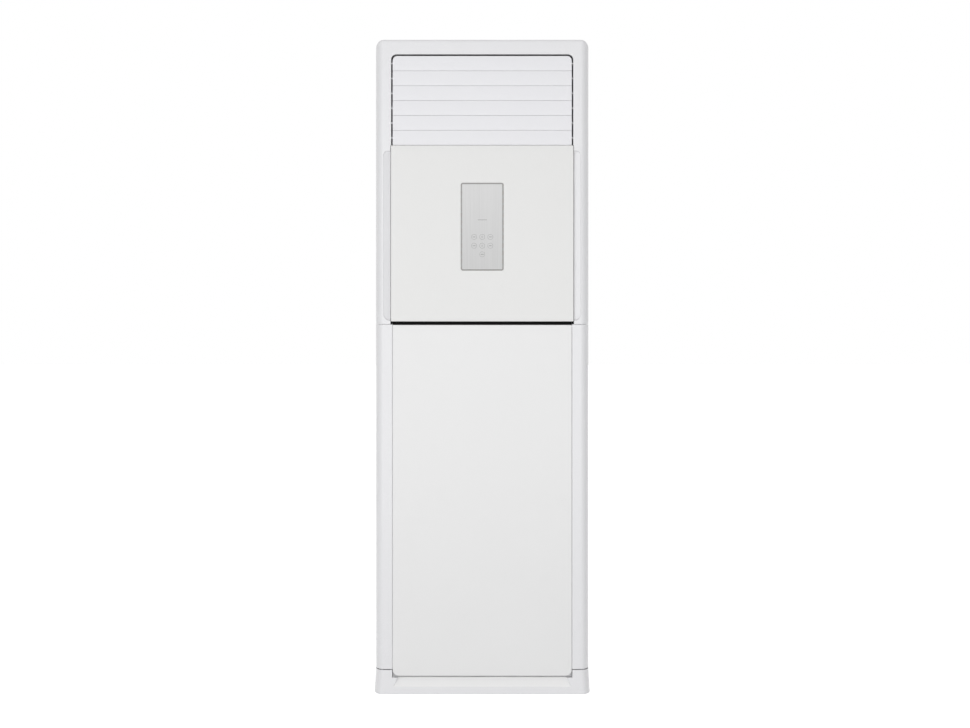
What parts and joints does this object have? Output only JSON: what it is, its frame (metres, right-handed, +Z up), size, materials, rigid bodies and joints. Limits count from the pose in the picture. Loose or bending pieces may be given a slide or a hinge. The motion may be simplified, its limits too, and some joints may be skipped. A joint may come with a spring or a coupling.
{
  "type": "floor standing air conditioner",
  "caption": "Tall floor standing air conditioner: front outlet with level louvres, lift-off panels, side intakes, and its fan, coil, drain and controls inside.",
  "frame": {"origin": "middle of the footprint, on the floor", "axes": "+Z up, the front faces -Y, +X to the right seen from the front"},
  "size_m": [0.642, 0.456, 1.938],
  "materials": {
    "white_moulding": "white ABS, satin gloss",
    "louvre_moulding": "white ABS, satin",
    "panel": "white ABS, semi-gloss",
    "white_steel": "white powder coat",
    "display_face": "vertically brushed, silver",
    "display_border": "grey",
    "grille": "light grey",
    "black_plastic": "black",
    "motor_case": "black paint",
    "zinc_steel": "galvanised",
    "fins": "bare fins",
    "copper": "bare copper tube",
    "board": "green circuit board",
    "filter": "dark net in a frame",
    "hose": "pale grey"
  },
  "bodies": {
    "cabinet": {"plinth": "white_moulding", "base_pan": "zinc_steel", "upper_front_frame": "white_moulding", "left_lower_column": "white_moulding", "right_lower_column": "white_moulding", "left_intake_grille": "grille", "right_intake_grille": "grille", "middle_panel": "panel", "display_bezel": "display_border", "display_plate": "display_face", "display_board": "board", "left_side_panel": "white_steel", "right_side_panel": "white_steel", "back_panel": "white_steel", "top_cover": "white_steel", "anti_tip_bracket": "zinc_steel", "cord_gland": "black_plastic", "fan_scroll": "zinc_steel", "inlet_ring": "zinc_steel", "fan_motor": "motor_case", "motor_bracket": "zinc_steel", "partition_deck": "zinc_steel", "electric_box": "zinc_steel", "electric_box_cover": "zinc_steel", "control_board": "board", "terminal_block": "black_plastic", "coil_fins": "fins", "coil_left_plate": "zinc_steel", "coil_right_plate": "zinc_steel", "gas_pipe": "copper", "liquid_pipe": "copper", "drain_pan": "black_plastic", "drain_hose": "hose", "outlet_duct": "white_steel", "vane_bottom_rail": "white_moulding", "vane_top_rail": "white_moulding", "vane_motor": "zinc_steel", "louvre_motor": "zinc_steel"},
    "fan": {"fan_wheel": "black_plastic", "fan_shaft": "zinc_steel"},
    "lower_panel": {"lower_panel": "panel"},
    "air_filter": {"air_filter": "filter"},
    "louvre_1": {"louvre_1": "louvre_moulding"},
    "louvre_2": {"louvre_2": "louvre_moulding"},
    "louvre_3": {"louvre_3": "louvre_moulding"},
    "louvre_4": {"louvre_4": "louvre_moulding"},
    "louvre_5": {"louvre_5": "louvre_moulding"},
    "louvre_6": {"louvre_6": "louvre_moulding"},
    "vane_1": {"vane_1": "white_moulding"},
    "vane_2": {"vane_2": "white_moulding"},
    "vane_3": {"vane_3": "white_moulding"},
    "vane_4": {"vane_4": "white_moulding"},
    "vane_5": {"vane_5": "white_moulding"},
    "vane_6": {"vane_6": "white_moulding"},
    "vane_7": {"vane_7": "white_moulding"},
    "vane_8": {"vane_8": "white_moulding"},
    "louvre_link": {"louvre_link": "black_plastic"},
    "louvre_motor_crank": {"louvre_motor_crank": "black_plastic"},
    "vane_link": {"vane_link": "black_plastic"},
    "vane_motor_crank": {"vane_motor_crank": "black_plastic"}
  },
  "joints": [
    {"name": "louvre_1_turn", "type": "hinge", "parent": "cabinet", "child": "louvre_1", "pos_m": [0, -0.217, 1.86755], "axis": [1, 0, 0], "range_deg": [0, 100]},
    {"name": "louvre_2_turn", "type": "hinge", "parent": "cabinet", "child": "louvre_2", "pos_m": [0, -0.217, 1.82345], "axis": [1, 0, 0], "range_deg": [0, 100]},
    {"name": "louvre_3_turn", "type": "hinge", "parent": "cabinet", "child": "louvre_3", "pos_m": [0, -0.217, 1.77935], "axis": [1, 0, 0], "range_deg": [0, 100]},
    {"name": "louvre_4_turn", "type": "hinge", "parent": "cabinet", "child": "louvre_4", "pos_m": [0, -0.217, 1.73525], "axis": [1, 0, 0], "range_deg": [0, 100]},
    {"name": "louvre_5_turn", "type": "hinge", "parent": "cabinet", "child": "louvre_5", "pos_m": [0, -0.217, 1.69115], "axis": [1, 0, 0], "range_deg": [0, 100]},
    {"name": "louvre_6_turn", "type": "hinge", "parent": "cabinet", "child": "louvre_6", "pos_m": [0, -0.217, 1.64705], "axis": [1, 0, 0], "range_deg": [0, 100]},
    {"name": "louvre_link_pivot", "type": "hinge", "parent": "louvre_1", "child": "louvre_link", "pos_m": [0.279, -0.208, 1.85683], "axis": [1, 0, 0], "range_deg": [-100, 0]},
    {"name": "louvre_motor_turn", "type": "hinge", "parent": "cabinet", "child": "louvre_motor_crank", "pos_m": [0.283, -0.188, 1.7573], "axis": [1, 0, 0], "range_deg": [0, 100]},
    {"name": "vane_1_turn", "type": "hinge", "parent": "cabinet", "child": "vane_1", "pos_m": [-0.21, -0.168, 1.756], "axis": [0, 0, 1], "range_deg": [-35, 35]},
    {"name": "vane_2_turn", "type": "hinge", "parent": "cabinet", "child": "vane_2", "pos_m": [-0.15, -0.168, 1.756], "axis": [0, 0, 1], "range_deg": [-35, 35]},
    {"name": "vane_3_turn", "type": "hinge", "parent": "cabinet", "child": "vane_3", "pos_m": [-0.09, -0.168, 1.756], "axis": [0, 0, 1], "range_deg": [-35, 35]},
    {"name": "vane_4_turn", "type": "hinge", "parent": "cabinet", "child": "vane_4", "pos_m": [-0.03, -0.168, 1.756], "axis": [0, 0, 1], "range_deg": [-35, 35]},
    {"name": "vane_5_turn", "type": "hinge", "parent": "cabinet", "child": "vane_5", "pos_m": [0.03, -0.168, 1.756], "axis": [0, 0, 1], "range_deg": [-35, 35]},
    {"name": "vane_6_turn", "type": "hinge", "parent": "cabinet", "child": "vane_6", "pos_m": [0.09, -0.168, 1.756], "axis": [0, 0, 1], "range_deg": [-35, 35]},
    {"name": "vane_7_turn", "type": "hinge", "parent": "cabinet", "child": "vane_7", "pos_m": [0.15, -0.168, 1.756], "axis": [0, 0, 1], "range_deg": [-35, 35]},
    {"name": "vane_8_turn", "type": "hinge", "parent": "cabinet", "child": "vane_8", "pos_m": [0.21, -0.168, 1.756], "axis": [0, 0, 1], "range_deg": [-35, 35]},
    {"name": "vane_link_pivot", "type": "hinge", "parent": "vane_1", "child": "vane_link", "pos_m": [-0.21, -0.15, 1.632], "axis": [0, 0, 1], "range_deg": [-35, 35]},
    {"name": "vane_motor_turn", "type": "hinge", "parent": "cabinet", "child": "vane_motor_crank", "pos_m": [0.24, -0.168, 1.62], "axis": [0, 0, 1], "range_deg": [-35, 35]},
    {"name": "fan_spin", "type": "hinge", "parent": "cabinet", "child": "fan", "pos_m": [0, 0.045, 0.5], "axis": [0, 1, 0], "continuous": true},
    {"name": "lower_panel_tilt", "type": "hinge", "parent": "cabinet", "child": "lower_panel", "pos_m": [0, -0.214, 0.062], "axis": [1, 0, 0], "range_deg": [0, 18]},
    {"name": "air_filter_slide", "type": "slide", "parent": "cabinet", "child": "air_filter", "axis": [0, 0, 1], "range_m": [0, 0.03]}
  ],
  "couplings": [
    {"joint": "louvre_2_turn", "follows": "louvre_1_turn", "ratio": 1},
    {"joint": "louvre_3_turn", "follows": "louvre_1_turn", "ratio": 1},
    {"joint": "louvre_4_turn", "follows": "louvre_1_turn", "ratio": 1},
    {"joint": "louvre_5_turn", "follows": "louvre_1_turn", "ratio": 1},
    {"joint": "louvre_6_turn", "follows": "louvre_1_turn", "ratio": 1},
    {"joint": "louvre_link_pivot", "follows": "louvre_1_turn", "ratio": -1},
    {"joint": "louvre_motor_turn", "follows": "louvre_1_turn", "ratio": 1},
    {"joint": "vane_2_turn", "follows": "vane_1_turn", "ratio": 1},
    {"joint": "vane_3_turn", "follows": "vane_1_turn", "ratio": 1},
    {"joint": "vane_4_turn", "follows": "vane_1_turn", "ratio": 1},
    {"joint": "vane_5_turn", "follows": "vane_1_turn", "ratio": 1},
    {"joint": "vane_6_turn", "follows": "vane_1_turn", "ratio": 1},
    {"joint": "vane_7_turn", "follows": "vane_1_turn", "ratio": 1},
    {"joint": "vane_8_turn", "follows": "vane_1_turn", "ratio": 1},
    {"joint": "vane_link_pivot", "follows": "vane_1_turn", "ratio": -1},
    {"joint": "vane_motor_turn", "follows": "vane_1_turn", "ratio": 1}
  ]
}
